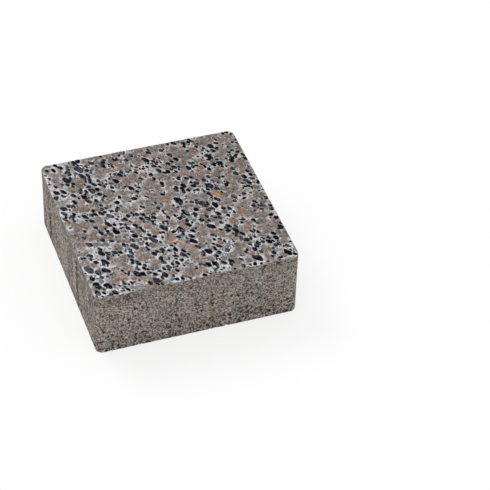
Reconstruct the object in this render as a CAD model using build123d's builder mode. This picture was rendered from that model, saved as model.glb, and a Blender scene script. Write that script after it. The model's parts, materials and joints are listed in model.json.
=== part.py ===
"""Square concrete paver, pressed in one piece, with spacer nibs on its four sides.

Frame: origin at the middle of the bed face, +Z up to the wearing face, sides square to X and Y.
Units: millimetres.
"""

import os

from build123d import *

# Driving sizes of the block
laying_length = 200.0  # room along X that one paver and one joint take up
laying_width = 200.0  # room along Y that one paver and one joint take up
thickness = 70.0  # from the bed face to the wearing face
corner_radius = 7.0  # rounding of the four upright corners
arris_radius = 1.5  # rounding of the edge round the wearing face

# Driving sizes of a spacer nib
nib_stand = 1.5  # how far a nib stands out, which is the joint that it holds open
nib_width = 14.0  # across its foot, on the side face
nib_flank = 3.0  # width of the slope on each side of its crest
nib_drop = 3.5  # plain side left between the wearing face and the nib
nib_head = 4.0  # height of the slope that runs out at its upper end
nib_pitch = 100.0  # step of the laying grid, with one nib for each step
nib_offset = 30.0  # from the start of a step to the middle of its nib

# Sizes that follow from them
body_length = laying_length - nib_stand
body_width = laying_width - nib_stand
nib_height = thickness - nib_drop
crest_width = nib_width - 2 * nib_flank
crest_height = nib_height - nib_head


def nib_places(run):
    """Distances along a side, from its middle, of the nibs on a side that is laid in a run of this length."""
    count = int(run // nib_pitch)
    return [nib_offset + step * nib_pitch - run / 2 for step in range(count)]


# One nib, standing out along +X from a side face at X = 0.
# Its foot is flush with the bed face, so that the mould lifts off upwards past it.
with BuildPart() as spacer_nib:
    with BuildSketch(Plane.YZ):
        Rectangle(nib_width, nib_height, align=(Align.CENTER, Align.MIN))
    with BuildSketch(Plane.YZ.offset(nib_stand)):
        Rectangle(crest_width, crest_height, align=(Align.CENTER, Align.MIN))
    loft()

# The whole paver: block, rounded top edge and nibs.
# Each side carries the nibs of the side before it, turned a quarter round,
# so a nib always meets the plain side of the next paver and never another nib.
with BuildPart() as paver:
    with BuildSketch(Plane.XY):
        RectangleRounded(body_length, body_width, corner_radius)
    extrude(amount=thickness)
    wearing_face = paver.faces().sort_by(Axis.Z)[-1]
    fillet(wearing_face.edges(), radius=arris_radius)
    for quarter in range(4):
        reach, run = (body_length, laying_width) if quarter % 2 == 0 else (body_width, laying_length)
        with Locations(Rotation(0, 0, 90 * quarter)):
            with Locations([(reach / 2, place, 0) for place in nib_places(run)]):
                add(spacer_nib.part)

paver.part.label = "paver"

os.makedirs("parts", exist_ok=True)
export_step(paver.part, "parts/paver.step")

box = paver.part.bounding_box().size
print(f"paver: {box.X:.1f} x {box.Y:.1f} x {box.Z:.1f} mm, {paver.part.volume / 1000:.1f} cm3")
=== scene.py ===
# %% [markdown]
# # A square concrete paver with a washed stone face
# A paver is pressed from earth-damp concrete in a steel mould, turned out at once and left to harden.
# Its wearing face is then washed, so that the coloured stone chippings stand out of the pale cement.
# This lesson starts from the finished solid of the paver and dresses it: the block gets the fine relief
# that the press leaves on its sides, and the wearing face gets every chipping as a small stone of its own.

# %% Load the solid
import json
import math

import bmesh
import bpy
import numpy as np
from mathutils import Matrix, Vector, geometry, noise

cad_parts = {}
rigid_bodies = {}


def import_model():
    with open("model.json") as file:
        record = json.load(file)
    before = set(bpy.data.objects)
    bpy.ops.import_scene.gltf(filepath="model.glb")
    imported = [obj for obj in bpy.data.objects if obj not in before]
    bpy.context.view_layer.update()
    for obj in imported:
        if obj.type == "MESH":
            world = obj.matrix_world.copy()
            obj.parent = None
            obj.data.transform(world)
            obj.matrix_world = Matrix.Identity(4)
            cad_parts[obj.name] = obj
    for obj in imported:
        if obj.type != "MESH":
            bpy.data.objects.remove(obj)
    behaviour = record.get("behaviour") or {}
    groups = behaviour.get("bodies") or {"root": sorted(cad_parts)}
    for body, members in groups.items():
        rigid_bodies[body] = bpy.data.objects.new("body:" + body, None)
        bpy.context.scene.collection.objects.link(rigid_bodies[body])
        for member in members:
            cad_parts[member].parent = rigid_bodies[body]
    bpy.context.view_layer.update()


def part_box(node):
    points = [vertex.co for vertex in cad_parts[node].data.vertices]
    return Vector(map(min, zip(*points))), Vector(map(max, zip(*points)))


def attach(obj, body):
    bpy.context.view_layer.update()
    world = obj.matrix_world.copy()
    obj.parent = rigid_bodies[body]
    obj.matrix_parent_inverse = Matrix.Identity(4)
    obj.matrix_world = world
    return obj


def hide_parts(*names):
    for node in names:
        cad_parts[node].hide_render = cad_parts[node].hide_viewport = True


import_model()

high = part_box("paver")[1]
MM = 0.001  # one millimetre in Blender's metres

# %% [markdown]
# ## Sizes of the block
# All shapes below are worked out in millimetres and turned into metres when a mesh is made.
# The overall sizes are read from the solid. The rest repeats the sizes that the solid was drawn with,
# so that the dressed block keeps its corners, its top edge and its spacer nibs in the same places.

# %% Sizes of the block
nib_stand = 1.5  # how far a spacer nib stands out from its side
half_side = high.x / MM - nib_stand  # from the middle to a plain side
height = high.z / MM
corner_radius = 7.0
arris_radius = 1.5
nib_width = 14.0
nib_flank = 3.0
nib_height = 66.5
nib_head = 4.0
nib_middles = (-70.0, 30.0)  # along each side, the same on all four after a quarter turn
print(f"plain block {2 * half_side:.1f} mm square, {height:.1f} mm thick")

# %% [markdown]
# ## Camera
# The view is that of a long lens from about two metres away, which keeps the edges nearly parallel.
# A camera can be placed by hand or with a Track To constraint. Here its three axes are worked out from
# azimuth, elevation and roll, because the block stands off the middle of the picture.

# %% Camera
picture_width = 490.0  # pixels
focal_length = 1917.0  # pixels
sensor_width = 36.0
azimuth = math.radians(-20.57)
elevation = math.radians(41.61)
roll = math.radians(2.19)
camera_distance = 1875.0
aim_right = 76.3  # the middle of the picture, measured from the middle of the bed face
aim_up = 18.8

back = Vector((math.sin(azimuth) * math.cos(elevation), -math.cos(azimuth) * math.cos(elevation),
               math.sin(elevation)))
level = Vector((math.cos(azimuth), math.sin(azimuth), 0.0))
upright = back.cross(level)
right = math.cos(roll) * level + math.sin(roll) * upright
up = math.cos(roll) * upright - math.sin(roll) * level
place = (aim_right * right + aim_up * up + camera_distance * back) * MM

camera_data = bpy.data.cameras.new("camera")
camera_data.sensor_width = sensor_width
camera_data.lens = focal_length / picture_width * sensor_width
camera = bpy.data.objects.new("camera", camera_data)
camera.matrix_world = Matrix.Translation(place) @ Matrix((right, up, back)).transposed().to_4x4()
bpy.context.scene.collection.objects.link(camera)
bpy.context.scene.camera = camera
print(f"lens {camera_data.lens:.1f} mm at {place.length:.2f} m")

# %% [markdown]
# ## Writing shaders as sums
# A material is a tree of nodes, and most of those nodes are plain arithmetic.
# The class below stands for one output socket. Adding, multiplying or subtracting such wires adds
# Math nodes, and its `node` method adds any other node: settings first, then values and links.

# %% Wires between nodes
class Wire:
    """One output socket of a node tree, which can be used in sums."""

    def __init__(self, tree, socket=None):
        self.tree = tree
        self.socket = socket

    def node(self, kind, inputs, output=0, stops=(), **settings):
        """Adds a node, sets it up, fills or links its input sockets, and returns one of its outputs."""
        made = self.tree.nodes.new(kind)
        for name, value in settings.items():
            setattr(made, name, value)
        if stops:
            ramp = made.color_ramp.elements
            ramp.remove(ramp[1])
            for position, colour in stops[1:]:
                ramp.new(position).color = (*colour, 1.0)
            ramp[0].position, ramp[0].color = stops[0][0], (*stops[0][1], 1.0)
        for name, value in inputs.items():
            if isinstance(value, Wire):
                self.tree.links.new(value.socket, made.inputs[name])
            else:
                made.inputs[name].default_value = value
        return Wire(self.tree, made.outputs[output])

    def maths(self, operation, *values):
        """Adds a Math node."""
        return self.node("ShaderNodeMath", dict(enumerate(values)), operation=operation)

    def __add__(self, other):
        return self.maths("ADD", self, other)

    def __radd__(self, other):
        return self.maths("ADD", other, self)

    def __sub__(self, other):
        return self.maths("SUBTRACT", self, other)

    def __rsub__(self, other):
        return self.maths("SUBTRACT", other, self)

    def __mul__(self, other):
        return self.maths("MULTIPLY", self, other)

    def __rmul__(self, other):
        return self.maths("MULTIPLY", other, self)


def between(wire, start, end, to_start=0.0, to_end=1.0):
    """Eases from one value to another while the wire goes from start to end."""
    values = {"Value": wire, "From Min": start, "From Max": end, "To Min": to_start, "To Max": to_end}
    return wire.node("ShaderNodeMapRange", values, interpolation_type="SMOOTHSTEP")


def mixed(factor, first, second):
    """A colour between two colours."""
    sockets = {"Factor": factor, 6: first, 7: second}
    return factor.node("ShaderNodeMix", sockets, output=2, data_type="RGBA")


def scaled(colour, factor):
    """A colour made lighter or darker."""
    return factor.node("ShaderNodeVectorMath", {0: colour, "Scale": factor}, operation="SCALE")


def clouds(place, size, detail=2.0, roughness=0.5):
    """Soft noise from 0 to 1, with patches of about this size in millimetres."""
    values = {"Vector": place, "Scale": 1.0 / (size * MM), "Detail": detail, "Roughness": roughness}
    return place.node("ShaderNodeTexNoise", values)


def grains(place, size, output="Color"):
    """A random colour, or the distance to its middle, for each grain of about this size in millimetres."""
    return place.node("ShaderNodeTexVoronoi", {"Vector": place, "Scale": 1.0 / (size * MM)}, output=output)


def carried(start, name):
    """A value that the mesh carries under this name."""
    return start.node("ShaderNodeAttribute", {}, output="Fac", attribute_name=name)


def new_material(name):
    """A material with a Principled shader, that shader, and a wire to start sums from."""
    material = bpy.data.materials.new(name)
    material.use_nodes = True
    shader = material.node_tree.nodes["Principled BSDF"]
    return material, shader, Wire(material.node_tree)


def feed(wire, shader, socket):
    """Links a wire to a socket of a shader."""
    wire.tree.links.new(wire.socket, shader.inputs[socket])


print("helpers for materials: between, mixed, scaled, clouds, grains, carried, new_material and feed")

# %% [markdown]
# ## Light and floor
# The block stands on a white floor in soft light from all round, with a broad lamp high at the back left.
# That lamp brightens the left side and rakes over the nibs, while the front side lies in softer light.
# The lamps are kept at a plain level, at which a white sheet on the floor just reaches white.
# A photographer would lighten the floor with a lamp of its own. Here the camera sees the floor partly as
# a sheet that glows white, so that only a light shadow is left round the foot of the block.

# %% Light and floor
sky_level = 0.80
lamp_level = 0.30  # on a surface that faces the lamp
lamp_from = Vector((-0.34, 0.58, 0.74))
lamp_spread = math.radians(30)
floor_reach = 4.0
floor_gap = 0.1 * MM
floor_bounce = 0.9
floor_glow = 0.75
white = (1.0, 1.0, 1.0, 1.0)

world = bpy.data.worlds.new("studio")
world.use_nodes = True
bpy.context.scene.world = world
sky = Wire(world.node_tree)
rays = {name: sky.node("ShaderNodeLightPath", {}, output=name)
        for name in ("Is Camera Ray", "Is Glossy Ray", "Is Transmission Ray")}
shown = rays["Is Camera Ray"] + rays["Is Glossy Ray"] + rays["Is Transmission Ray"]
background = world.node_tree.nodes["Background"]
background.inputs["Color"].default_value = white
feed(sky_level + (1.0 - sky_level) * shown, background, "Strength")

lamp_data = bpy.data.lights.new("broad_lamp", "SUN")
lamp_data.energy = lamp_level * math.pi
lamp_data.angle = lamp_spread
lamp = bpy.data.objects.new("broad_lamp", lamp_data)
lamp.rotation_euler = lamp_from.to_track_quat("Z", "Y").to_euler()
bpy.context.scene.collection.objects.link(lamp)

floor_mesh = bpy.data.meshes.new("floor")
floor_shape = bmesh.new()
bmesh.ops.create_grid(floor_shape, x_segments=1, y_segments=1, size=floor_reach)
floor_shape.to_mesh(floor_mesh)
floor_shape.free()
floor = bpy.data.objects.new("floor", floor_mesh)
floor.location.z = -floor_gap
bpy.context.scene.collection.objects.link(floor)

floor_paint, floor_shader, start = new_material("floor_paint")
seen = start.node("ShaderNodeLightPath", {}, output="Is Camera Ray")
feed(mixed(seen, (floor_bounce, floor_bounce, floor_bounce, 1.0), white), floor_shader, "Base Color")
floor_shader.inputs["Roughness"].default_value = 1.0
floor_shader.inputs["Specular IOR Level"].default_value = 0.0
glow = start.node("ShaderNodeEmission", {"Color": white, "Strength": 1.0})
lightened = start.node("ShaderNodeMixShader",
                       {0: floor_glow * seen, 1: Wire(start.tree, floor_shader.outputs[0]), 2: glow})
feed(lightened, floor_paint.node_tree.nodes["Material Output"], "Surface")
floor_mesh.materials.append(floor_paint)
bpy.context.scene.view_settings.view_transform = "Standard"
print("sky", sky_level, "lamp", lamp_level)

# %% [markdown]
# ## The outline of the block
# A pressed block has the same outline from its foot to its top edge, apart from the nibs.
# One could remesh the solid, but even a fine remesh blunts the nibs.
# So the skin is laid out as columns round the outline and rows up the side, like the threads of a cloth.
# Columns are set on every corner of a nib, and all four sides are one side turned a quarter round.

# %% Columns and rows
column_step = 1.1
row_step = 1.15
corner_columns = 11
arris_rows = 4
foot_height = 1.2
foot_step = 0.4


def spread(stops, step):
    """Values from the first stop to the last that hit every stop, no further apart than the step."""
    runs = []
    for start_at, end_at in zip(stops, stops[1:]):
        count = math.ceil((end_at - start_at) / step)
        runs.append(np.linspace(start_at, end_at, count, endpoint=False))
    return np.concatenate(runs)


straight_end = half_side - corner_radius
side_stops = [-straight_end]
for middle in nib_middles:
    for edge in (-nib_width / 2, -nib_width / 2 + nib_flank, nib_width / 2 - nib_flank, nib_width / 2):
        side_stops.append(middle + edge)
side_stops.append(straight_end)
along = spread(side_stops, column_step)
turn = np.linspace(0.0, math.pi / 2, corner_columns, endpoint=False)

side_points = np.column_stack([np.full(len(along), half_side), along])
side_normals = np.tile([1.0, 0.0], (len(along), 1))
corner_normals = np.column_stack([np.cos(turn), np.sin(turn)])
corner_points = straight_end + corner_radius * corner_normals
quarter_points = np.concatenate([side_points, corner_points])
quarter_normals = np.concatenate([side_normals, corner_normals])
quarter_walk = np.concatenate([along, straight_end + corner_radius * turn])
from_nib = np.min([np.abs(quarter_walk - middle) for middle in nib_middles], axis=0)
quarter_nibs = np.clip((nib_width / 2 - from_nib) / nib_flank, 0.0, 1.0)


def quarter_turned(points, quarter):
    """Plan points turned about the middle by a number of quarter turns."""
    angle = quarter * math.pi / 2
    return points @ np.array([[math.cos(angle), math.sin(angle)], [-math.sin(angle), math.cos(angle)]])


plan = np.concatenate([quarter_turned(quarter_points, q) for q in range(4)])
outward = np.concatenate([quarter_turned(quarter_normals, q) for q in range(4)])
column_nib = np.tile(quarter_nibs, 4)
column_from_nib = np.tile(from_nib, 4)

wall_rows = np.concatenate([
    spread([0.0, foot_height], foot_step),
    spread([foot_height, nib_height - nib_head, nib_height, height - arris_radius], row_step)])
arris_turn = np.linspace(0.0, math.pi / 2, arris_rows + 1)
row_turn = np.concatenate([np.zeros(len(wall_rows)), arris_turn])
row_height = np.concatenate([wall_rows, height - arris_radius + arris_radius * np.sin(arris_turn)])
row_inset = arris_radius * (1.0 - np.cos(row_turn))
row_nib = np.clip((nib_height - row_height) / nib_head, 0.0, 1.0)
print(len(plan), "columns and", len(row_height), "rows")

# %% [markdown]
# ## The skin of the sides
# The nibs stand out from the sides, and their feet are worn away.
# The damp mix leaves its mark on the skin: lumps, drag lines where the mould was lifted, and pits.
# A Displace modifier could do this, but here the depth is worked out point by point, because the pits are
# also kept as a value named `hollow`, and the material paints shade into them with it.
# Two opposite sides are drawn smoother than the others by the mould, and `drawn` says how far.

# %% Skin of the sides
worn_foot = 8.0  # height over which the foot of a nib is worn away
least_drawn = 0.25  # how far the two rough sides are drawn, where a smooth side counts as 1


def waves(points, size):
    """Soft noise from -1 to 1 at each point, with waves of this size along each axis."""
    return np.array([noise.noise(point) for point in (points / np.array(size)).tolist()])


def eased(values, start_at, end_at):
    """0 before the start, 1 after the end, and a smooth step between them."""
    share = np.clip((values - start_at) / (end_at - start_at), 0.0, 1.0)
    return share * share * (3.0 - 2.0 * share)


skin = np.zeros((len(row_height), len(plan), 3))
worn = eased(row_height, 0.0, worn_foot)
stand = nib_stand * np.minimum(column_nib, row_nib[:, None]) * worn[:, None]
skin[:, :, :2] = plan + outward * (stand - row_inset[:, None])[:, :, None]
skin[:, :, 2] = row_height[:, None]
drawn = least_drawn + (1.0 - least_drawn) * outward[:, 0] ** 2


def skin_waves(size, shift):
    """Noise on the skin, from a place of its own in space."""
    return waves(skin.reshape(-1, 3) + shift, size).reshape(stand.shape)


print(f"skin of {skin.shape[0] * skin.shape[1]} points, nibs standing out by {stand.max():.2f} mm")

# %% [markdown]
# ## Pits and pores
# Where the mix was not packed, the sides have ragged pits, most of them low down and in loose patches.
# They are the peaks of a noise, and the level above which noise makes a pit sinks towards the foot.
# Small round pores are added one by one, each at a random column and height.

# %% Pits and pores
pit_size = (3.0, 3.0, 2.5)
pit_depth = 1.05
pit_level = 0.62  # noise above this level makes a pit, high up on a side
pit_ease = 0.16
low_gain = 0.28  # how far that level sinks towards the foot
low_zone = (4.0, 36.0)
drawn_loss = 0.10  # how far it rises on the two smooth sides
patch_size = 24.0
patch_gain = 0.17  # how far it sinks and rises from patch to patch
patch_shift = 90.0  # each noise is taken from a place of its own, so that no two look alike
pit_shift = 60.0
calm_zone = (57.0, 64.0)
calm_loss = 0.6  # how much of the relief is missing near the top
pore_count = 560
pore_radius = (0.9, 1.8)
pore_depth = 1.3
pore_fall = 1.7  # how fast the pores thin out with height
pore_loss = 0.6  # share of the pores that a smooth side lacks
pore_slope = 0.6  # share of a pore's radius that its wall takes up
pore_columns = np.arange(-3, 4)  # columns to both sides that a pore can reach

calm = 1.0 - calm_loss * eased(row_height, *calm_zone)[:, None]
low_down = 1.0 - eased(row_height, *low_zone)[:, None]
patches = patch_gain * skin_waves(3 * [patch_size], patch_shift)
pit_line = pit_level - low_gain * low_down + drawn_loss * drawn - patches
pits = pit_depth * eased(skin_waves(pit_size, pit_shift) - pit_line, 0.0, pit_ease) * calm

pore_dice = np.random.default_rng(5)
for column in pore_dice.integers(len(plan), size=pore_count):
    radius = pore_dice.uniform(*pore_radius)
    pore_height = nib_height * pore_dice.random() ** pore_fall
    if pore_dice.random() < pore_loss * drawn[column]:
        continue
    nearby = (column + pore_columns) % len(plan)
    span = np.hypot(np.linalg.norm(plan[nearby] - plan[column], axis=1), row_height[:, None] - pore_height)
    pored = pore_depth * eased(radius - span, 0.0, pore_slope * radius)
    pits[:, nearby] = np.maximum(pits[:, nearby], pored)
pitted = (pits[:len(wall_rows)] > pit_depth / 3).mean()
print(f"pits up to {pits.max():.2f} mm deep, on {pitted:.3f} of the sides")

# %% [markdown]
# ## Lumps and drag lines
# Grains of sand make small lumps in the skin, the press makes broader swells, and the mould draws upright
# lines. All three are noise, and the waves of the drag lines are far longer upright than along the side.
# The foot is rounded off a little. Everything only sinks in, so the block never outgrows its solid.

# %% Lumps and drag lines
lump_size = 1.9
lump_depth = 0.30
lump_shift = 0.0
rough_share = 1.1  # how much of the lumps a fully rough side would have
drawn_share = 0.6  # how much of that drawing takes off
swell_size = 4.5
swell_depth = 0.18
swell_shift = 30.0
drag_size = (2.4, 2.4, 55.0)
drag_depth = 0.22
drag_shift = 0.0
foot_depth = 0.22
foot_wave = 0.8
foot_wave_size = 5.0
foot_shift = 50.0
deepest = 1.5  # nothing sinks further in than this

foot = (1.0 - eased(row_height, 0.0, foot_height))[:, None]
uneven_foot = 1.0 + foot_wave * skin_waves(3 * [foot_wave_size], foot_shift)
hollow = np.maximum(pits, foot_depth * foot * uneven_foot)
lumps = lump_depth * (0.5 - 0.5 * skin_waves(3 * [lump_size], lump_shift))
swells = swell_depth * (0.5 - 0.5 * skin_waves(3 * [swell_size], swell_shift))
drags = drag_depth * (0.5 - 0.5 * skin_waves(drag_size, drag_shift))
relief = (rough_share - drawn_share * drawn) * lumps + swells + drawn * drags
sunk = np.clip(hollow + calm * relief, 0.0, deepest)
sunk *= 1.0 - eased(row_turn, 0.0, arris_turn[-1])[:, None]
skin[:, :, :2] -= outward * sunk[:, :, None]
print(f"relief up to {sunk.max():.2f} mm deep, {sunk.mean():.2f} mm on average")

# %% [markdown]
# ## The washed cement and the bed face
# Washing takes the cement back by about seven tenths of a millimetre between the stones, and by less along
# the edge. The two flat faces are filled with a loose grid of points, and Blender's Delaunay function joins
# them to the last row of the skin, so the block stays one closed mesh.

# %% Top and bottom faces
top_step = 0.95
top_margin = 0.7  # room between the ring and the grid, in steps
bed_step = 2.8
bed_margin = 0.8
grid_jitter = 0.25
same_point = 1e-6  # points closer than this count as one
wash_depth = 0.70
edge_wash = 0.45
edge_ease = 3.0
wash_turn = (0.4, 1.2)  # where on the rounded edge the washing starts and is full
cement_waves = ((2.6, 0.20), (1.1, 0.10))  # size and depth
bed_depth = 0.35
bed_wave_size = 4.5
bed_wave_level = 0.2
dice = np.random.default_rng(7)


def edge_distance(points):
    """How far plan points lie inside the outline of the plain block."""
    beyond = np.abs(points) - straight_end
    outside = np.hypot(*np.maximum(beyond, 0.0).T)
    inside = np.minimum(beyond.max(axis=1), 0.0)
    return corner_radius - outside - inside


def filled(ring, step, margin):
    """Fills a closed ring of plan points with a jittered grid, and returns all points and triangles."""
    count = int(2 * half_side / step)
    grid_x, grid_y = np.meshgrid(np.arange(count), np.arange(count))
    grid = np.column_stack([(grid_x + 0.5 * (grid_y % 2)).ravel(), grid_y.ravel()]) * step - half_side
    grid += dice.uniform(-grid_jitter, grid_jitter, grid.shape) * step
    grid = grid[edge_distance(grid) > margin]
    points = np.concatenate([ring, grid])
    loop = [(i, (i + 1) % len(ring)) for i in range(len(ring))]
    result = geometry.delaunay_2d_cdt([Vector(p) for p in points], loop, [], 1, same_point)
    return np.array(result[0]), result[2]


columns_in_ring = len(plan)
washed = edge_wash * eased(row_turn, *wash_turn)
skin[:, :, :2] -= outward * (washed * np.cos(row_turn))[:, None, None]
skin[:, :, 2] -= (washed * np.sin(row_turn))[:, None]
top_plan, top_faces = filled(skin[-1, :, :2], top_step, arris_radius + top_margin * top_step)
bed_plan, bed_faces = filled(skin[0, :, :2], bed_step, deepest + bed_margin * bed_step)

inward = edge_distance(top_plan) - arris_radius
wash = edge_wash + (wash_depth - edge_wash) * eased(inward, 0.0, edge_ease)
top_points = np.column_stack([top_plan, height - wash])
for size, depth in cement_waves:
    top_points[columns_in_ring:, 2] += depth * waves(top_points[columns_in_ring:], 3 * [size])
bed_points = np.column_stack([bed_plan, np.zeros(len(bed_plan))])
bed_dents = bed_depth * np.clip(waves(bed_points, 3 * [bed_wave_size]) + bed_wave_level, 0.0, 1.0)
bed_points[columns_in_ring:, 2] = bed_dents[columns_in_ring:]
print(len(top_faces), "triangles on top,", len(bed_faces), "below")

# %% [markdown]
# ## One closed mesh
# The skin, the top and the bed share the points of their common rings, so nothing has to be welded.
# The mesh could also be joined from three objects, but then the points of the rings would have to be merged.

# %% Body mesh
def mesh_object(name, points, faces):
    """A mesh object from points in millimetres."""
    mesh = bpy.data.meshes.new(name)
    mesh.from_pydata((points * MM).tolist(), [], faces)
    made = bpy.data.objects.new(name, mesh)
    bpy.context.scene.collection.objects.link(made)
    return made


row_count = len(row_height)
index = np.arange(row_count * columns_in_ring).reshape(row_count, columns_in_ring)
ahead = np.roll(index, -1, axis=1)
side_faces = np.stack([index[:-1], ahead[:-1], ahead[1:], index[1:]], axis=-1).reshape(-1, 4)
top_inner = row_count * columns_in_ring
top_start = top_inner - columns_in_ring
bed_inner = top_inner + len(top_points) - columns_in_ring


def lifted(face, ring_start, inner_start):
    """The numbers of a filled face's points in the whole mesh."""
    return [ring_start + i if i < columns_in_ring else inner_start + i - columns_in_ring for i in face]


whole_top = [lifted(face, top_start, top_inner) for face in top_faces]
whole_bed = [lifted(face, 0, bed_inner)[::-1] for face in bed_faces]
points = np.concatenate([skin.reshape(-1, 3), top_points[columns_in_ring:], bed_points[columns_in_ring:]])
body = mesh_object("cast_block", points, side_faces.tolist() + whole_top + whole_bed)
body.data.shade_smooth()
print("body:", sum(len(face.vertices) - 2 for face in body.data.polygons), "triangles")

# %% [markdown]
# ## Values that the block carries
# The crests of the nibs get a painted highlight and their feet a painted shade, more on the smooth sides.
# Both are kept as one value for each point, and the depth of the pits is kept as `hollow`.
# They could be painted as vertex colours, but plain numbers are easier to use in the sums of a material.

# %% Pits, and painted light and shade on the nibs
foot_shade_reach = 1.8  # width of the painted shade along the foot of a nib
crest_highlight_range = (0.7, 1.0)  # where on the flank of a nib the painted highlight starts and is full
foot_shade_range = (0.0, 0.5)


def carry(piece, name, values):
    """Keeps a value for each point in the mesh, for its material."""
    piece.data.attributes.new(name, "FLOAT", "POINT").data.foreach_set("value", values)


hollow_all = np.zeros(len(points))
hollow_all[:top_inner] = (hollow * (row_turn < arris_turn[1])[:, None]).ravel()
hollow_all[bed_inner:] = bed_dents[columns_in_ring:]
carry(body, "hollow", hollow_all)
# The crest value becomes a painted highlight, and the dust value a painted shade along the foot of each nib.
crest_highlight = eased(np.minimum(column_nib, row_nib[:, None]), *crest_highlight_range) * worn[:, None]
beside_nib = np.exp(-((column_from_nib - nib_width / 2) / foot_shade_reach) ** 2)
dust = drawn * beside_nib * eased(row_nib, *foot_shade_range)[:, None]
rubbed = np.zeros(len(points))
rubbed[:top_inner] = (drawn * crest_highlight - dust).ravel()
carry(body, "rubbed", rubbed)
print(f"hollow up to {hollow_all.max():.2f}, rubbed from {rubbed.min():.2f} to {rubbed.max():.2f}")

# %% [markdown]
# ## A flat map of the block
# Each corner of each face gets a place on a flat map, so that the finish can be baked later.
# Blender can unwrap a mesh by itself, but the skin is already a grid, so its places are simply counted out:
# the four sides lie as strips on the left of the map, and the two faces as squares on the right.

# %% Map of the block
map_side = 345.0  # millimetres of surface along one edge of the map
map_gap = 2.0
face_share = 0.69  # the two flat faces are drawn a little smaller

map_places = np.zeros((len(body.data.loops), 2))
quarter_columns = len(quarter_points)
face_column = np.tile(np.arange(columns_in_ring), row_count - 1)
face_row = np.repeat(np.arange(row_count - 1), columns_in_ring)
walk_start = quarter_walk[0]
walk_next = np.append(quarter_walk[1:], quarter_walk[-1] + corner_radius * turn[1])
climb = np.concatenate([[0.0], np.cumsum(np.hypot(np.diff(row_height), np.diff(row_inset)))])
u0 = quarter_walk[face_column % quarter_columns] - walk_start
u1 = walk_next[face_column % quarter_columns] - walk_start
base = (face_column // quarter_columns) * map_side / 4
v0 = base + climb[face_row]
v1 = base + climb[face_row + 1]
side_map = np.stack([np.stack([u0, v0], -1), np.stack([u1, v0], -1),
                     np.stack([u1, v1], -1), np.stack([u0, v1], -1)], axis=1)
side_loops = side_faces.size
map_places[:side_loops] = side_map.reshape(-1, 2) / map_side
flat_span = 2 * half_side * face_share
flat_left = map_side - flat_span
for faces, first_loop, lift in ((whole_top, side_loops, 0.0),
                                (whole_bed, side_loops + 3 * len(whole_top), flat_span + map_gap)):
    corners = np.array(faces).ravel()
    flat = (points[corners, :2] + half_side) * face_share
    map_places[first_loop:first_loop + len(corners)] = (flat + [flat_left, lift]) / map_side
body.data.uv_layers.new(name="OFBake").data.foreach_set("uv", map_places.ravel())
print(f"map filled from {map_places.min():.3f} to {map_places.max():.3f}")

# %% [markdown]
# ## Taking the place of the solid
# The dressed block rides on the body of the part and takes the place of the plain solid in the picture.

# %% Place of the block
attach(body, "root")
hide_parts("paver")
print(body.name, "replaces the solid")
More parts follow.
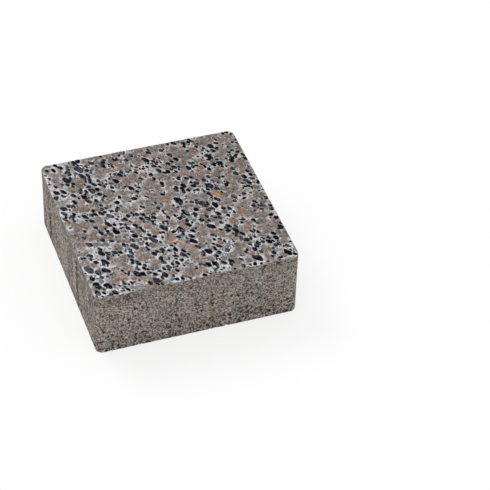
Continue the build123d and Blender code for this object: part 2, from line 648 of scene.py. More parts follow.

# %% [markdown]
# ## Laying out the chippings
# The face mix holds pink granite, crushed dark basalt, a few green and amber stones, and pale sand.
# Stones can be scattered with a particle system or with Geometry Nodes, but those let them overlap.
# Here the stones that catch the eye are listed one by one, and the others are dropped between them.

# %% Stones listed one by one
# Each stone is given by its place on the wearing face and its radius, in millimetres.
by_hand = {
    "basalt": [
        (-64, 83, 5.0), (-64, 73, 4.2), (-80, 71, 4.5), (-62, 97, 3.8), (-50, 90, 3.5), (-40, 82, 3.3),
        (-27, 88, 2.4), (3, 79, 3.5), (63, 66, 4.0), (26, 60, 3.3), (10, 59, 2.8), (70, 81, 4.0),
        (71, 53, 3.5), (83, 53, 3.1), (-94, 56, 3.8), (-87, 55, 3.5), (-97, 48, 2.8), (-61, 49, 4.0),
        (-70, 42, 3.5), (-93, 31, 4.2), (-68, 35, 3.5), (-95, 24, 3.5), (-24, 42, 3.5), (-28, 64, 3.1),
        (-34, 56, 3.5), (50, 23, 4.7), (39, 30, 3.5), (26, 30, 3.5), (87, 26, 3.3), (-77, 14, 3.3),
        (-54, 8, 3.8), (-61, 14, 3.3), (15, 10, 5.0), (35, -1, 5.0), (16, -9, 4.5), (27, -7, 3.1),
        (68, 0, 3.3), (51, 1, 3.1), (47, -6, 4.2), (-21, -6, 3.1), (-15, -6, 2.8), (-59, -3, 4.0),
        (-72, -4, 2.6), (-43, -14, 2.8), (-55, -16, 3.8), (-69, -13, 3.1), (-84, -26, 3.8), (-40, -26, 3.3),
        (-30, -22, 2.8), (-10, -24, 4.5), (4, -30, 4.5), (13, -26, 3.1), (40, -22, 3.3), (58, -15, 2.8),
        (33, -34, 4.0), (53, -46, 3.5), (49, -39, 3.1), (58, -53, 2.8), (-77, -40, 4.0), (-87, -41, 2.6),
        (-25, -37, 4.7), (-64, -44, 2.6), (-44, -41, 4.2), (10, -50, 4.0), (-94, -59, 5.2), (-87, -65, 3.5),
        (-79, -65, 4.7), (-76, -53, 3.8), (-52, -52, 3.5), (-5, -64, 3.1), (20, -68, 4.2), (31, -63, 3.3),
        (59, -62, 3.1), (-48, -64, 3.1), (-94, -72, 3.3), (-92, -82, 5.0), (-83, -85, 4.7), (-79, -96, 3.5),
        (-95, -91, 3.2), (-53, -77, 4.0), (-48, -79, 3.5), (-29, -86, 4.0), (-38, -91, 4.0), (-68, -86, 2.6),
        (14, -85, 3.3), (20, -85, 3.8), (28, -87, 3.5), (35, -87, 3.1), (60, -90, 5.2), (78, -71, 3.5),
        (86, -68, 3.1), (90, -91, 4.2), (77, -87, 2.8), (96, -41, 3.1), (96, -55, 3.5),
    ],
    "granite": [
        (4, 16, 5.6), (-25, 51, 5.0), (18, 64, 4.5), (-74, 26, 6.0), (-46, 40, 6.0), (-81, 2, 5.6),
        (5, 1, 5.6), (28, 13, 4.2), (-77, -16, 4.6), (-10, -40, 5.0), (6, -58, 5.2), (56, -34, 6.0),
        (86, -32, 5.0), (88, -48, 5.0), (38, -47, 5.4), (73, -80, 6.0), (52, -68, 4.2), (-59, -54, 5.0),
        (-43, -58, 4.4), (-7, -92, 5.0), (5, -91, 4.0), (-68, -77, 6.4), (62, 90, 5.0), (88, 44, 5.0),
        (85, 90, 5.6), (-7, 76, 5.0), (-2, 46, 4.5), (-49, 81, 4.0), (-88, 65, 3.6), (-78, 55, 5.0),
        (23, -42, 3.6), (-24, -18, 4.5), (35, 87, 5.0), (53, 80, 5.0),
    ],
    "amber": [(53, 10, 5.8), (68, -18, 3.8), (-2, -47, 2.8), (-11, -45, 2.6)],
}
print({family: len(stones) for family, stones in by_hand.items()})

# %% [markdown]
# ## Dropping the other stones
# Each other stone is dropped at a random place and kept only where it has room, the big ones first,
# just as small stones fill the gaps between large ones. Granite and basalt also gather in small flocks.
# Most long stones lie about one way. So that they fit closely, room is measured on a plan that is
# pressed together along that way, on which a long stone is about as long as wide.

# %% Places of the chippings
families = {
    "granite": {"count": 280, "size": (2.0, 4.6), "lean": 1.3, "long": (1.3, 2.3), "flock": 0.3},
    "basalt": {"count": 700, "size": (0.8, 3.0), "lean": 1.15, "long": (1.5, 3.0), "flock": 0.25},
    "greenstone": {"count": 45, "size": (1.5, 3.2), "lean": 1.2, "long": (1.1, 1.6), "flock": 0.0},
    "amber": {"count": 5, "size": (0.8, 1.5), "lean": 1.0, "long": (2.8, 3.4), "flock": 0.0},
    "sand": {"count": 2600, "size": (0.45, 1.25), "lean": 1.3, "long": (1.0, 1.6), "flock": 0.0},
}
crowding = 0.80  # share of their two radii that neighbours keep apart
stretch = 1.85  # how much longer than wide the room of a stone is
edge_room = 0.25
edge_share = 0.35  # share of its radius that a stone keeps from the edge on top of that
tries = 40
flock_gap = (0.9, 1.8)  # how far a stone drops from an earlier one of its flock, in shares of their radii
main_lie = math.radians(120)  # most long stones lie about this way
lie_spread = math.radians(30)
hand_spread = 0.5  # the listed stones turn only half as far from that way
basalt_lean = 0.35  # how much thicker the basalt lies towards the far right
amber_lie = math.radians(141)
main_way = np.array([math.cos(main_lie), math.sin(main_lie)])
cross_way = np.array([-main_way[1], main_way[0]])
press = np.array([main_way / math.sqrt(stretch), cross_way * math.sqrt(stretch)])

stone_dice = np.random.default_rng(17)
wanted = []
for family, facts in families.items():
    smallest, largest = facts["size"]
    wanted += [(radius, family, (x, y)) for x, y, radius in by_hand.get(family, [])]
    radii = smallest + (largest - smallest) * stone_dice.random(facts["count"]) ** facts["lean"]
    wanted += [(radius, family, None) for radius in radii]
wanted.sort(key=lambda stone: (stone[2] is None, -stone[0]))
lies = stone_dice.normal(main_lie, lie_spread, len(wanted))
longs = stone_dice.random(len(wanted))

stone_places = np.zeros((len(wanted), 2))
stone_sizes = np.zeros(len(wanted))
stone_lies = np.zeros(len(wanted))
stone_longs = np.zeros(len(wanted))
stone_families = []
flocks = {family: [] for family in families}


def dropped(family, radius):
    """A place to try: anywhere on the face, or beside an earlier stone of the same flock."""
    if flocks[family] and stone_dice.random() < families[family]["flock"]:
        mate = stone_dice.choice(flocks[family])
        angle = stone_dice.uniform(0.0, 2 * math.pi)
        gap = (stone_sizes[mate] + radius) * stone_dice.uniform(*flock_gap)
        return stone_places[mate] + gap * np.array([math.cos(angle), math.sin(angle)])
    place = stone_dice.uniform(-half_side, half_side, 2)
    if family == "basalt" and stone_dice.random() < -basalt_lean * place.sum() / (2 * half_side):
        place = -place
    return place


for (radius, family, fixed), lie, share in zip(wanted, lies, longs):
    count = len(stone_families)
    shortest, longest = families[family]["long"]
    long_way = shortest + (longest - shortest) * share
    if fixed:
        lie = amber_lie if family == "amber" else main_lie + hand_spread * (lie - main_lie)
    for _ in range(tries):
        spot = np.array(fixed) if fixed else dropped(family, radius)
        roomy = edge_distance(spot[None])[0] > edge_room + edge_share * radius
        span = np.hypot(*press @ (stone_places[:count] - spot).T)
        if fixed or roomy and np.all(span > crowding * (stone_sizes[:count] + radius)):
            stone_places[count] = spot
            stone_sizes[count] = radius
            stone_lies[count] = lie
            stone_longs[count] = long_way
            flocks[family].append(count)
            stone_families.append(family)
            break
stone_families = np.array(stone_families)
count = len(stone_families)
stone_places = stone_places[:count]
stone_sizes = stone_sizes[:count]
stone_lies = stone_lies[:count]
stone_longs = stone_longs[:count]
print({family: int((stone_families == family).sum()) for family in families})

# %% [markdown]
# ## The shape of a chipping
# Crushed stone splits along flat planes, so an outline is cut by a plane here and there.
# Seen from its middle, a stone reaches as far as the nearest plane that cuts it: its own cleavage planes,
# the planes between it and its neighbours, and those of the block's edge. That gives angular stones which
# hardly ever run into each other. Only the amber stones are plain long ovals, which their neighbours cut.

# %% Outlines of the chippings
outline_steps = 20
cleavage_planes = 5
cleavage_reach = (0.55, 1.3)
oval_reach = 1.2
outline_noise = 0.11
plane_jitter = 0.45
grazing = 0.05  # a plane that faces away from a spoke, or nearly so, doesn't cut it
far_off = 1e6
neighbours = 14
stone_gap = 0.3
amber_claim = 2.2  # the long amber stones keep their length, and their neighbours give way
border_planes = 16
least_reach = 0.3  # share of its size that a stone keeps, however close its neighbours are
least_border = 0.15  # the same beside the edge of the block
spokes = np.arange(outline_steps) * 2 * math.pi / outline_steps


def cut_by(turns, reaches):
    """How far each spoke of each stone runs before a plane cuts it."""
    facing = np.cos(spokes[None, :, None] - turns[:, None, :])
    cut = np.where(facing > grazing, reaches[:, None, :] / np.maximum(facing, grazing), far_off)
    return cut.min(axis=2)


jitter = stone_dice.uniform(-plane_jitter, plane_jitter, (count, cleavage_planes))
plane_turn = (np.arange(cleavage_planes) + jitter) * 2 * math.pi / cleavage_planes + stone_lies[:, None]
from_axis = plane_turn - stone_lies[:, None]
half_longs = np.sqrt(stone_longs)[:, None]
ellipse = np.hypot(half_longs * np.cos(from_axis), np.sin(from_axis) / half_longs)
plane_reach = stone_sizes[:, None] * ellipse * stone_dice.uniform(*cleavage_reach, (count, cleavage_planes))
own_outline = cut_by(plane_turn, plane_reach)
from_long = spokes[None] - stone_lies[:, None]
oval = stone_sizes[:, None] / np.hypot(np.cos(from_long) / half_longs, np.sin(from_long) * half_longs)
own_outline = np.minimum(own_outline, oval_reach * oval)
own_outline *= (stone_sizes / own_outline.mean(axis=1))[:, None]
is_amber = stone_families == "amber"
own_outline[is_amber] = oval[is_amber]
own_outline *= 1.0 + outline_noise * stone_dice.uniform(-1.0, 1.0, (count, outline_steps))

pressed = stone_places @ press.T
offsets = pressed[None] - pressed[:, None]
spans = np.hypot(offsets[..., 0], offsets[..., 1])
np.fill_diagonal(spans, far_off)
nearest = np.argpartition(spans, neighbours, axis=1)[:, :neighbours]
near_span = np.take_along_axis(spans, nearest, axis=1)
near_offset = np.take_along_axis(offsets, nearest[..., None], axis=1)
near_way = near_offset / near_span[..., None] @ press
near_turn = np.arctan2(near_way[..., 1], near_way[..., 0])
claims = stone_sizes * np.where(is_amber, amber_claim, 1.0)
near_share = claims[:, None] / (claims[:, None] + claims[nearest])
near_reach = near_span * near_share / np.hypot(near_way[..., 0], near_way[..., 1]) - stone_gap / 2

border_turn = np.arange(border_planes) * 2 * math.pi / border_planes
border_way = np.column_stack([np.cos(border_turn), np.sin(border_turn)])
border_span = straight_end * np.abs(border_way).sum(axis=1) + corner_radius - edge_room
border_reach = border_span - stone_places @ border_way.T

near_reach = np.maximum(near_reach, least_reach * stone_sizes[:, None])
border_reach = np.maximum(border_reach, least_border * stone_sizes[:, None])
reach = np.minimum(own_outline, cut_by(near_turn, near_reach))
reach = np.minimum(reach, cut_by(np.tile(border_turn, (count, 1)), border_reach))
wedge = 0.5 * math.sin(2 * math.pi / outline_steps)
areas = (reach * np.roll(reach, 1, axis=1)).sum(axis=1) * wedge / (2 * half_side) ** 2
print({family: round(float(areas[stone_families == family].sum()), 3) for family in families}, "of the face")

# %% [markdown]
# ## Building the chippings
# Each stone is a stack of rings from its crown over a worn shoulder to a root below the cement.
# Its top is broken by a few slanting faces. The stones of one kind are joined to one mesh, because
# thousands of objects would be slow. Every stone carries values for its material: a random `tone`,
# a `facet` that tells its broken faces apart, and a `rim` that grows towards the cement.

# %% Chipping meshes
broken_faces = 3
root_gap = 0.2
kept_share = 0.5  # how much of a corner is left after one round of wear
map_disc = 0.47  # radius of a stone on the map, as a share of its cell
map_base = 0.43  # place of its hidden base, in a corner of the cell
map_base_radius = 0.06


def softened(outline):
    """An outline with its corners worn down."""
    beside = (np.roll(outline, 1, axis=1) + np.roll(outline, -1, axis=1)) / 2
    return kept_share * outline + (1.0 - kept_share) * beside


def stone_top(points):
    """Height of the wearing face, rounded down along its edge."""
    rounding = np.clip(arris_radius - edge_distance(points), 0.0, arris_radius)
    return height - arris_radius + np.sqrt(arris_radius**2 - rounding**2)


def stone_faces(steps, rings):
    """Corner numbers of one stone's faces: a fan at the peak, bands between rings, a fan under the root."""
    step = np.arange(steps)
    following = (step + 1) % steps
    fan = np.column_stack([np.zeros(steps, int), 1 + step, 1 + following])
    bands = np.concatenate([
        1 + ring * steps + np.column_stack([step, steps + step, steps + following, following])
        for ring in range(rings - 1)])
    root = 1 + (rings - 1) * steps
    under = np.column_stack([np.full(steps, root + steps), root + following, root + step])
    return fan, bands, under


def chippings(name, family, steps, profile, worn, tilt, bury):
    """Joins all stones of a family to one mesh."""
    mine = np.flatnonzero(stone_families == family)
    total = len(mine)
    outline = reach[mine]
    for _ in range(worn):
        outline = softened(outline)
    picked = np.arange(steps) * outline_steps // steps
    outline = outline[:, picked]
    way = np.column_stack([np.cos(spokes[picked]), np.sin(spokes[picked])])
    middle = stone_places[mine][:, None, :]
    slopes = stone_dice.normal(0.0, tilt, (total, 1, broken_faces, 2)) / stone_sizes[mine, None, None, None]
    slack = tilt * stone_dice.random((total, 1, broken_faces))
    depth = bury * stone_dice.random(total)[:, None] ** 2
    chips = stone_dice.random((total, steps))
    looks = stone_dice.random((total, broken_faces + 1))

    def ring(share, drop, chip):
        """The points of one ring of every stone, each with the look of the broken face that it lies on."""
        flat = middle + share * outline[..., None] * way
        top = stone_top(flat.reshape(-1, 2)).reshape(total, -1)
        breaks = ((flat - middle)[:, :, None, :] * slopes).sum(axis=3) - slack
        breaks = np.concatenate([np.zeros((total, breaks.shape[1], 1)), breaks], axis=2)
        look = np.take_along_axis(looks, breaks.argmax(axis=2), axis=1)
        level = top - depth - drop - chip * chips - breaks.max(axis=2)
        return np.concatenate([flat, level[..., None], look[..., None]], axis=2)

    rings = np.concatenate([ring(share, drop, chip) for share, drop, chip, rim in profile], axis=1)
    peak = rings[:, :1].copy()
    peak[..., :2] = middle
    peak[:, 0, 2] = rings[:, :steps, 2].mean(axis=1)
    foot = rings[:, -1:].copy()
    foot[..., :2] = middle
    foot[:, 0, 2] = rings[:, -steps:, 2].min(axis=1) - root_gap
    cloud = np.concatenate([peak, rings, foot], axis=1)

    fan, bands, under = stone_faces(steps, len(profile))
    size = cloud.shape[1]
    faces = []
    for first in range(0, total * size, size):
        faces += (fan + first).tolist() + (bands + first).tolist() + (under + first).tolist()
    made = mesh_object(name, cloud[..., :3].reshape(-1, 3), faces)
    carry(made, "tone", np.repeat(stone_dice.random(total), size))
    carry(made, "facet", cloud[..., 3].ravel())
    rims = np.concatenate([[0.0], np.repeat([rim for *_, rim in profile], steps), [1.0]])
    carry(made, "rim", np.tile(rims, total))

    across = math.ceil(math.sqrt(total))
    disc = [np.zeros((1, 2))] + [map_disc * (k + 1) / len(profile) * way for k in range(len(profile))]
    disc = np.concatenate(disc + [np.zeros((1, 2))])
    small = map_base_radius * disc - map_base
    corners = [disc[fan].reshape(-1, 2), disc[bands].reshape(-1, 2), small[under].reshape(-1, 2)]
    cells = np.column_stack([np.arange(total) % across, np.arange(total) // across]) + 0.5
    map_all = (cells[:, None, :] + np.concatenate(corners)[None]) / across
    made.data.uv_layers.new(name="OFBake").data.foreach_set("uv", map_all.ravel())
    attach(made, "root")
    print(f"{name}: {total} stones, {total * 2 * steps * len(profile)} triangles")
    return made


# %% [markdown]
# ## The five kinds of chippings
# A profile lists the rings of a stone from its crown down: the share of the outline that the ring takes,
# how far it lies below the crown, how far it is chipped at random, and how far it counts as rim.
# Sand grains are too small for many rings, so they get a shorter profile and fewer points in each ring.
# Basalt keeps its sharp corners, and the softer stones are worn once.

# %% Chippings and sand
sand_steps = 10
flush = [(0.50, 0.00, 0.04, 0.0), (0.86, 0.03, 0.06, 0.2), (0.98, 0.14, 0.16, 0.6), (1.02, 1.0, 0.0, 1.0),
         (0.75, 2.2, 0.0, 1.0)]
grain = [(0.65, 0.02, 0.12, 0.2), (1.0, 0.55, 0.2, 1.0), (0.7, 1.5, 0.0, 1.0)]
full = outline_steps
granite = chippings("granite_chippings", "granite", full, flush, worn=1, tilt=0.25, bury=0.38)
basalt = chippings("basalt_chippings", "basalt", full, flush, worn=0, tilt=0.22, bury=0.12)
greenstone = chippings("greenstone_chippings", "greenstone", full, flush, worn=1, tilt=0.20, bury=0.35)
amber = chippings("amber_chippings", "amber", full, flush, worn=1, tilt=0.20, bury=0.10)
sand = chippings("sand_grains", "sand", sand_steps, grain, worn=0, tilt=0.25, bury=0.30)

# %% [markdown]
# ## Cement round the stones
# Fresh cement is nearly white. It stays brightest in the open veins between the dark stones, and it takes on
# the brown of the dust that is ground off the granite. So the block keeps two more values for its material:
# how near each point of the wearing face is to basalt, and how near to granite.

# %% Nearness to the stones
batches = 40  # the points are taken in batches, to save memory


def nearness(family, halo):
    """1 at the edge of a family's nearest stone, falling to 0 over the halo, for each point of the block."""
    mine = np.flatnonzero(stone_families == family)
    near = np.zeros(len(points))
    tops = np.flatnonzero(points[:, 2] > height - arris_radius)
    for part in np.array_split(tops, batches):
        span = np.hypot(*(points[part, None, :2] - stone_places[None, mine]).transpose(2, 0, 1))
        near[part] = 1.0 - eased((span - stone_sizes[mine]).min(axis=1), 0.0, halo)
    return near


for family, halo in (("basalt", 5.0), ("granite", 2.5)):
    near = nearness(family, halo)
    carry(body, "by_" + family, near)
    print(f"{(near > 0.0).mean():.2f} of the points are near {family}")

# %% [markdown]
# ## The finish of the sides
# Cast concrete is grey-brown cement paste with grains of sand in it, a little browner here and greyer there.
# A picture of concrete could be wrapped round the block, but it would show seams. Noise in space has none.
# The sums below give a shade of about 1. Sand, drag lines and bands make it higher or lower, and the
# colour of the paste is multiplied by it.

# %% Sand on the sides
dust_size = 0.9
sand_size = 1.25
soft_size = 2.2
grit_size = 0.75
wobble_size = 1.2
wobble_reach = 1.6  # how far the outline of a grain is pulled about
grain_gap_range = (0.45, 0.8)  # where the painted shade in the gap round a grain starts and where it is full
upper_band = (54.0, 63.0)  # heights between which the calmer band along the top begins
lower_band = (2.0, 26.0)  # heights between which the rougher foot ends
smooth_turn = 0.0008  # in square metres, how soon the finish changes round a corner
sand_gains = {"dust": 1.6, "sand": 2.1, "edge": 0.35, "soft": 0.5, "grit": 1.6}
upper_calm = 0.2
lower_rough = 0.25
smooth_rough = 0.15


def parted(place, axes="XYZ"):
    """The parts of a place along its axes."""
    return {axis: place.node("ShaderNodeSeparateXYZ", {"Vector": place}, output=axis) for axis in axes}


def swing(wire):
    """A value from 0 to 1, turned into one that swings round 0."""
    return wire - 0.5


def toned_grains(place, size):
    """A random value from 0 to 1 for each grain of about this size in millimetres."""
    return place.node("ShaderNodeSeparateColor", {"Color": grains(place, size)}, output="Red")


concrete, concrete_shader, start = new_material("cast_concrete")
here = start.node("ShaderNodeTexCoord", {}, output="Object")
parts = parted(here)
upward = parts["Z"] * (1.0 / MM)
upper = between(upward, *upper_band)
lower = 1.0 - between(upward, *lower_band)
smooth_side = between(parts["X"] * parts["X"] - parts["Y"] * parts["Y"], -smooth_turn, smooth_turn)

wobble = here.node("ShaderNodeTexNoise", {"Vector": here, "Scale": 1.0 / (wobble_size * MM)}, output="Color")
wobble = here.node("ShaderNodeVectorMath", {0: wobble, 1: (0.5, 0.5, 0.5)}, operation="SUBTRACT")
uneven = here.node("ShaderNodeVectorMath", {0: wobble, 1: 3 * (wobble_reach * MM,), 2: here},
                   operation="MULTIPLY_ADD")
dust_tone = toned_grains(uneven, dust_size)
sand_tone = toned_grains(uneven, sand_size)
# The gaps round the grains are darkened as painted shade, and dented in the bump.
sand_gap_shade = between(grains(uneven, sand_size, output="Distance"), *grain_gap_range)
soft = clouds(here, soft_size, detail=1.0)
grit = clouds(here, grit_size, roughness=0.6)
speckle = (sand_gains["dust"] * swing(dust_tone) + sand_gains["sand"] * swing(sand_tone)
           - sand_gains["edge"] * sand_gap_shade)
roughened = (1.0 - upper_calm * upper) * (1.0 + lower_rough * lower) * (1.0 + smooth_rough * smooth_side)
sandy = roughened * (sand_gains["soft"] * swing(soft) + speckle) + sand_gains["grit"] * swing(grit)
print("sand:", len(concrete.node_tree.nodes), "nodes")

# %% [markdown]
# ## Drag lines and paste
# The mould draws upright lines over the sides as it is lifted off, most of all on the two smooth sides.
# Lines could be painted one by one, but noise that is pressed together along the height is drawn out
# upright, and so it gives both the fine lines and the broader drift between them.
# The paste itself changes slowly from brown to grey.

# %% Drag lines and paste
line_press = (1.0, 1.0, 0.04)  # noise pressed together along the height is drawn out to upright lines
drift_press = (1.0, 1.0, 0.25)
line_size = 3.0
drift_size = 8.0
line_gain = (0.4, 1.0)  # on every side, and how much more on the smooth ones
drift_gain = (0.3, 1.1)
plain_level = 1.39
smooth_loss = 0.17
lower_loss = 0.05
upper_loss = 0.19
nib_light_gain = 0.35
least_shade = 0.2
paste_size = 16.0
paste_colours = [(0.38, (0.220, 0.190, 0.169)), (0.5, (0.217, 0.188, 0.158)), (0.62, (0.208, 0.192, 0.167))]


def pressed_by(place, shares):
    """Places pressed together along each axis to these shares."""
    return place.node("ShaderNodeVectorMath", {0: place, 1: shares}, operation="MULTIPLY")


lines = clouds(pressed_by(here, line_press), line_size)
drifting = pressed_by(here, drift_press)
drift = clouds(drifting, drift_size, detail=1.0)
dragged = ((line_gain[0] + line_gain[1] * smooth_side) * swing(lines)
           + (drift_gain[0] + drift_gain[1] * smooth_side) * swing(drift))
side_level = plain_level - smooth_loss * smooth_side - lower_loss * lower - upper_loss * upper
# The nib value adds a painted highlight on the crests of the nibs and a painted shade along their feet.
shade = side_level + sandy + dragged + nib_light_gain * carried(start, "rubbed")
paste = here.node("ShaderNodeValToRGB", {"Fac": clouds(drifting, paste_size)}, stops=paste_colours)
shaded_paste = scaled(paste, start.maths("MAXIMUM", shade, least_shade))
print("with drag lines:", len(concrete.node_tree.nodes), "nodes")

# %% [markdown]
# ## Pale grains, and painted shade in pores and pits
# Here and there a pale grain of sand lies bare, and low on the sides small pores are open in the mix.
# Both are cells of one Voronoi texture: a high random value makes a cell a grain, a low one makes it a pore.
# A pore is only a small dent in the bump, and its near-black colour is painted shade. The pits of the
# relief, the sunk foot and the dents of the bed get painted shade from the `hollow` value that the mesh
# carries.

# %% Pale grains, and painted shade in pores and pits
mark_size = 4.4  # a grain or a pore lies in the middle of a cell of this size
mark_ragged = 0.6
smooth_closed = 0.3  # share of the marks that the smooth sides lack
upper_closed = 0.5
grain_share = (0.82, 0.88)
grain_reach = (0.18, 0.30)
grain_strength = 0.8
grain_colour = (0.56, 0.53, 0.48, 1.0)
pore_base = 0.015  # share of the cells that are pores, high up on a side
pore_lower = 0.05
pore_patch_gain = 0.7
pore_patch_middle = 0.4  # noise above this value makes a patch with more pores
pore_patch_size = 26.0
pore_zone = (10.0, 40.0)
pore_ease = 0.03
pore_reach = (0.24, 0.36)
pore_shade_strength = 0.9
pore_shade_colour = (0.026, 0.022, 0.020, 1.0)
pit_grit = 0.5
pit_shade_range = (0.15, 0.6)
pit_shade_strength = 0.9
pit_shade_colour = (0.036, 0.031, 0.028, 1.0)

mark_tone = toned_grains(here, mark_size)
mark_span = grains(here, mark_size, output="Distance") + mark_ragged * swing(grit)
open_mix = (1.0 - smooth_closed * smooth_side) * (1.0 - upper_closed * upper)
pale_grain = between(mark_tone, *grain_share) * (1.0 - between(mark_span, *grain_reach)) * open_mix
pore_patches = clouds(here, pore_patch_size, detail=1.0) - pore_patch_middle
pore_share = pore_base + (pore_lower + pore_patch_gain * pore_patches) * (1.0 - between(upward, *pore_zone))
is_pore = 1.0 - between(mark_tone - pore_share, 0.0, pore_ease)
pore = is_pore * (1.0 - between(mark_span, *pore_reach)) * open_mix
side_colour = mixed(grain_strength * pale_grain, shaded_paste, grain_colour)
# Painted shade: the pores are painted nearly black.
side_colour = mixed(pore_shade_strength * pore, side_colour, pore_shade_colour)
shaded_depth = carried(start, "hollow") + pit_grit * swing(grit)
# Painted shade in the pits, the sunk foot and the dents of the bed, by their depth.
side_colour = mixed(between(shaded_depth, *pit_shade_range, 0.0, pit_shade_strength), side_colour, pit_shade_colour)
print("sides:", len(concrete.node_tree.nodes), "nodes")

# %% [markdown]
# ## The finish of the wearing face
# The washed cement is paler than the sides. It is nearly white beside the basalt and brown beside the
# granite, as the two nearness values say, and a little darker towards the far right.
# It could be a material of its own on the faces of the top, but that would leave a hard line along the edge.

# %% Cement of the wearing face
fine_size = 0.8
vein_size = 9.0
cement_colours = [(0.32, (0.08, 0.072, 0.068)), (0.45, (0.255, 0.238, 0.228)), (0.58, (0.375, 0.358, 0.353)),
                  (0.70, (0.70, 0.70, 0.72))]
cement_level = 0.97
dull_way = (0.8, 0.45)  # towards the far right
dull_range = (-0.06, 0.10)  # in metres along that way
dull_loss = 0.25
lime_near = (0.885, 0.888, 0.935, 1.0)
lime_far = (0.76, 0.735, 0.722, 1.0)
lime_level = (0.31, 1.38)  # its least brightness, and how much the fine noise adds
lime_veins = (0.35, 0.55)
lime_strength = 0.8
brown_dust = (0.25, 0.211, 0.183)
brown_level = (0.2, 1.6)
brown_veins = (0.75, 0.40)
brown_strength = 0.6


def dulled(parts, near=0.0, far=1.0):
    """Eases from one value at the near left of the wearing face to another at its far right."""
    return between(dull_way[0] * parts["X"] + dull_way[1] * parts["Y"], *dull_range, near, far)


fine = clouds(here, fine_size, roughness=0.6)
veins = clouds(here, vein_size)
dull = dulled(parts)
cement = here.node("ShaderNodeValToRGB", {"Fac": fine}, stops=cement_colours)
cement = scaled(cement, cement_level - dull_loss * dull)
lime = scaled(mixed(dull, lime_near, lime_far), lime_level[0] + lime_level[1] * fine)
brown = scaled(brown_dust, brown_level[0] + brown_level[1] * fine)
limed = carried(start, "by_basalt") * between(veins, *lime_veins)
browned = carried(start, "by_granite") * between(veins, *brown_veins)
face_colour = mixed(lime_strength * limed, cement, lime)
face_colour = mixed(brown_strength * browned, face_colour, brown)
print("with the wearing face:", len(concrete.node_tree.nodes), "nodes")

# %% [markdown]
# ## One material for the block
# The block is one piece, so it has one material. The ragged line along the top edge mixes its two colours,
# and a Bump node adds the sand grains that are too fine for the mesh.

# %% Material of the block
ragged_size = 2.4
ragged_gain = 0.9
top_line = (height - 1.15, height - 0.85)
bump_gains = {"sand": 0.3, "dust": 0.2, "grit": 0.4, "edge": 0.5, "grain": 0.25, "pore": 0.4}
bump_strength = 0.8
bump_depth = 0.7

ragged = upward + ragged_gain * swing(clouds(here, ragged_size, detail=1.0))
on_top = between(ragged, *top_line)
feed(mixed(on_top, side_colour, face_colour), concrete_shader, "Base Color")
concrete_shader.inputs["Roughness"].default_value = 0.9
concrete_shader.inputs["Specular IOR Level"].default_value = 0.2
bump_height = (bump_gains["sand"] * sand_tone + bump_gains["dust"] * dust_tone
               + bump_gains["grit"] * grit - bump_gains["edge"] * sand_gap_shade
               + bump_gains["grain"] * pale_grain - bump_gains["pore"] * pore)
bump = start.node("ShaderNodeBump",
                  {"Height": bump_height, "Strength": bump_strength, "Distance": bump_depth * MM})
feed(bump, concrete_shader, "Normal")
body.data.materials.append(concrete)
print("block material:", len(concrete.node_tree.nodes), "nodes")

# %% [markdown]
# ## The finish of the chippings
# Every family has a ramp of colours from its darkest to its lightest stone, and a mottle of crystals.
# Granite is pink-brown, with a few painted glints: near-white spots that stand in for crystals catching the
# light.
# Basalt is nearly black, with painted reflections on some of its broken faces: grey streaks that stand in
# for the sky mirrored in them. A film of cement is left on the rims, because washing never cleans a stone
# down to its edge. A material for each stone would be slow. One for each family, fed by the values that its
# mesh carries, gives the same variety.

# %% Finish of a family of chippings
far_dull = 0.85  # how bright the stones at the far right still are
cloud_step = 3.0  # how much larger the soft patches of a stone are than its crystals
cloud_share = 0.7
least_mottle = 0.1
reflection_press = (3.0, 1.0, 1.0)  # the painted reflections are drawn out along the way in which most stones lie
reflection_size = 1.1
reflection_gain = 2.4
facet_gain = 0.5
reflection_range = (0.45, 0.74)
sparkle_size = 1.3  # the painted glints lie in the middle of cells of this size
sparkle_ease = 0.02
sparkle_reach = (0.3, 0.5)
sparkle_strength = 0.8
painted_glint_colour = (0.80, 0.80, 0.82, 1.0)
film_size = 1.3
film_gain = 1.1  # how ragged the inner edge of the cement film is
film_range = (0.35, 0.75)
film_colour = (0.36, 0.35, 0.345, 1.0)
gloss_swing = 0.3
crystal_bump = 0.3
crystal_depth = 0.3


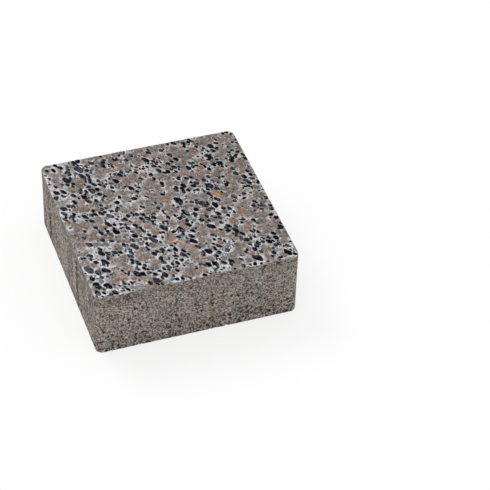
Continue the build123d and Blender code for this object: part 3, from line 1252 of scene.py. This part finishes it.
def stone_finish(piece, colours, crystal, contrast, film, roughness, sheen, reflection_colour=None, sparkle=0.0):
    """Gives a family of stones its colours, its crystals, any painted reflections and glints, its film of
    cement and its gloss.
    """
    material, shader, start = new_material(piece.name.split("_")[0] + "_stone")
    here = start.node("ShaderNodeTexCoord", {}, output="Object")
    colour = start.node("ShaderNodeValToRGB", {"Fac": carried(start, "tone")}, stops=colours)
    # Painted reflection: grey streaks on some broken faces stand in for the sky mirrored in them.
    if reflection_colour:
        turned = {"Vector": here, "Rotation": (0.0, 0.0, main_lie), "Scale": reflection_press}
        lying = start.node("ShaderNodeMapping", turned, vector_type="TEXTURE")
        reflections = reflection_gain * swing(clouds(lying, reflection_size, detail=1.0))
        reflections = facet_gain * carried(start, "facet") + reflections
        colour = mixed(between(reflections, *reflection_range), colour, reflection_colour)
    crystals = clouds(here, crystal, roughness=0.6)
    patches = clouds(here, cloud_step * crystal, detail=1.0)
    mottle = 1.0 + contrast * swing(crystals) + cloud_share * contrast * swing(patches)
    mottle = start.maths("MAXIMUM", mottle, least_mottle)
    colour = scaled(colour, mottle * dulled(parted(here, "XY"), 1.0, far_dull))
    # Painted glints: near-white spots stand in for crystals catching the light.
    if sparkle:
        lit = between(toned_grains(here, sparkle_size), 1.0 - sparkle, 1.0 - sparkle + sparkle_ease)
        lit = lit * (1.0 - between(grains(here, sparkle_size, output="Distance"), *sparkle_reach))
        colour = mixed(sparkle_strength * lit, colour, painted_glint_colour)
    coated = carried(start, "rim") + film_gain * swing(clouds(here, film_size))
    feed(mixed(film * between(coated, *film_range), colour, film_colour), shader, "Base Color")
    feed(roughness + gloss_swing * swing(crystals), shader, "Roughness")
    shader.inputs["Specular IOR Level"].default_value = sheen
    bumps = {"Height": crystals, "Strength": crystal_bump, "Distance": crystal_depth * MM}
    feed(start.node("ShaderNodeBump", bumps), shader, "Normal")
    piece.data.materials.append(material)
    print(material.name, len(material.node_tree.nodes), "nodes")


# %% [markdown]
# ## Colours of the chippings
# Each list is a ramp from the darkest stone of a family to its lightest, with places from 0 to 1.
# Sand is a mixture of everything, so it has the longest ramp, up to a few nearly white grains: pale quartz,
# made bright enough to serve as painted glints as well.

# %% Colours of the chippings
granite_colours = [(0.0, (0.155, 0.127, 0.110)), (0.3, (0.198, 0.156, 0.132)), (0.6, (0.234, 0.156, 0.123)),
                   (1.0, (0.296, 0.195, 0.152))]
basalt_colours = [(0.0, (0.001, 0.001, 0.002)), (0.55, (0.002, 0.002, 0.004)), (0.8, (0.012, 0.013, 0.018)),
                  (1.0, (0.036, 0.039, 0.048))]
greenstone_colours = [(0.0, (0.10, 0.10, 0.095)), (0.5, (0.15, 0.152, 0.135)), (1.0, (0.21, 0.21, 0.19))]
amber_colours = [(0.0, (0.34, 0.155, 0.055)), (0.6, (0.40, 0.185, 0.065)), (1.0, (0.48, 0.26, 0.12))]
# The nearly white end of the sand ramp is pale quartz, and partly painted glints as well.
sand_colours = [(0.0, (0.04, 0.04, 0.04)), (0.10, (0.12, 0.11, 0.10)), (0.35, (0.26, 0.225, 0.20)),
                (0.6, (0.36, 0.35, 0.345)), (0.9, (0.52, 0.53, 0.57)), (0.96, (0.62, 0.63, 0.66)),
                (1.0, (0.88, 0.89, 0.9))]
# The colour of the painted reflections on basalt.
basalt_reflection_colour = (0.145, 0.160, 0.190, 1.0)

stone_finish(granite, granite_colours, crystal=1.1, contrast=2.9, film=0.25, roughness=0.65, sheen=0.25,
             sparkle=0.09)
stone_finish(basalt, basalt_colours, crystal=1.4, contrast=1.2, film=0.04, roughness=0.6, sheen=0.02,
             reflection_colour=basalt_reflection_colour)
stone_finish(greenstone, greenstone_colours, crystal=0.7, contrast=1.0, film=0.6, roughness=0.6, sheen=0.25)
stone_finish(amber, amber_colours, crystal=2.0, contrast=3.4, film=0.35, roughness=0.5, sheen=0.3)
stone_finish(sand, sand_colours, crystal=0.8, contrast=0.6, film=0.4, roughness=0.55, sheen=0.3)
